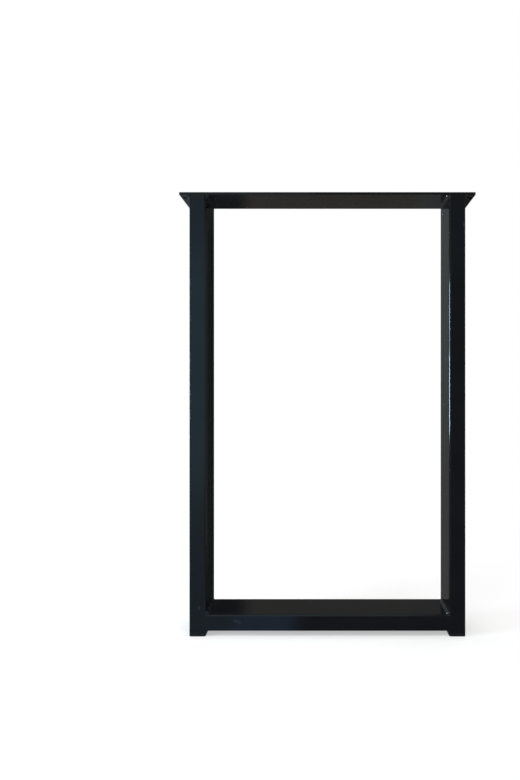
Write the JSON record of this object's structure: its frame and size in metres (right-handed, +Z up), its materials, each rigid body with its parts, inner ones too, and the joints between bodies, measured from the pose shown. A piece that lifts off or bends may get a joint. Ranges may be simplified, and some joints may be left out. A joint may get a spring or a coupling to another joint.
{
  "type": "table leg",
  "caption": "Closed rectangular table leg of welded black steel tube, with a flat bar on top that screws under a table top and plastic plugs for feet.",
  "frame": {"origin": "on the floor, midway between the two feet and midway through the depth of the tubes", "axes": "+X across the leg to its right upright, +Y from its front to its back, +Z up to the table top"},
  "size_m": [0.45, 0.05, 0.675],
  "materials": {
    "gloss_black_paint": "gloss",
    "black_foot_plastic": "satin"
  },
  "bodies": {
    "root": {"top_plate": "gloss_black_paint", "left_upright": "gloss_black_paint", "right_upright": "gloss_black_paint", "bottom_rail": "gloss_black_paint", "left_plate_inner_weld": "gloss_black_paint", "left_plate_outer_weld": "gloss_black_paint", "right_plate_inner_weld": "gloss_black_paint", "right_plate_outer_weld": "gloss_black_paint", "left_rail_top_weld": "gloss_black_paint", "left_rail_under_weld": "gloss_black_paint", "left_rail_front_weld": "gloss_black_paint", "left_rail_back_weld": "gloss_black_paint", "right_rail_top_weld": "gloss_black_paint", "right_rail_under_weld": "gloss_black_paint", "right_rail_front_weld": "gloss_black_paint", "right_rail_back_weld": "gloss_black_paint", "left_foot_plug": "black_foot_plastic", "right_foot_plug": "black_foot_plastic"}
  },
  "joints": []
}
